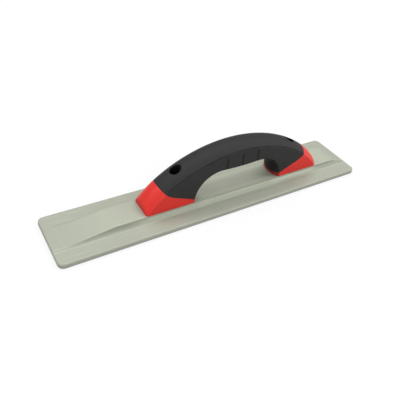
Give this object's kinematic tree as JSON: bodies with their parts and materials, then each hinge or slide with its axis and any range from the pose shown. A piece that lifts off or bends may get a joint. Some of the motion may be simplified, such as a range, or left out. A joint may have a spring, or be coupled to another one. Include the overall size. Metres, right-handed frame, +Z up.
{
  "type": "magnesium hand float",
  "caption": "Long flat magnesium float blade with rounded corners and a raised land, and an arched two-tone handle with a soft grip screwed on top, for smoothing fresh concrete.",
  "frame": {"origin": "centre of the blade's flat working face, which is the underside the tool rests on", "axes": "+X along the blade towards its toe, the end the handle sits nearer to; +Y across the blade; +Z up from the working face towards the hand"},
  "size_m": [0.4064, 0.0794, 0.0755],
  "materials": {
    "magnesium": "fine satin mill finish",
    "red_plastic": "satin moulded plastic",
    "soft_rubber": "finely textured soft-touch rubber",
    "steel": "zinc-plated"
  },
  "bodies": {
    "root": {"blade": "magnesium", "handle_core": "red_plastic", "soft_grip": "soft_rubber", "heel_screw": "steel", "heel_washer": "steel", "toe_screw": "steel", "toe_washer": "steel"}
  },
  "joints": []
}
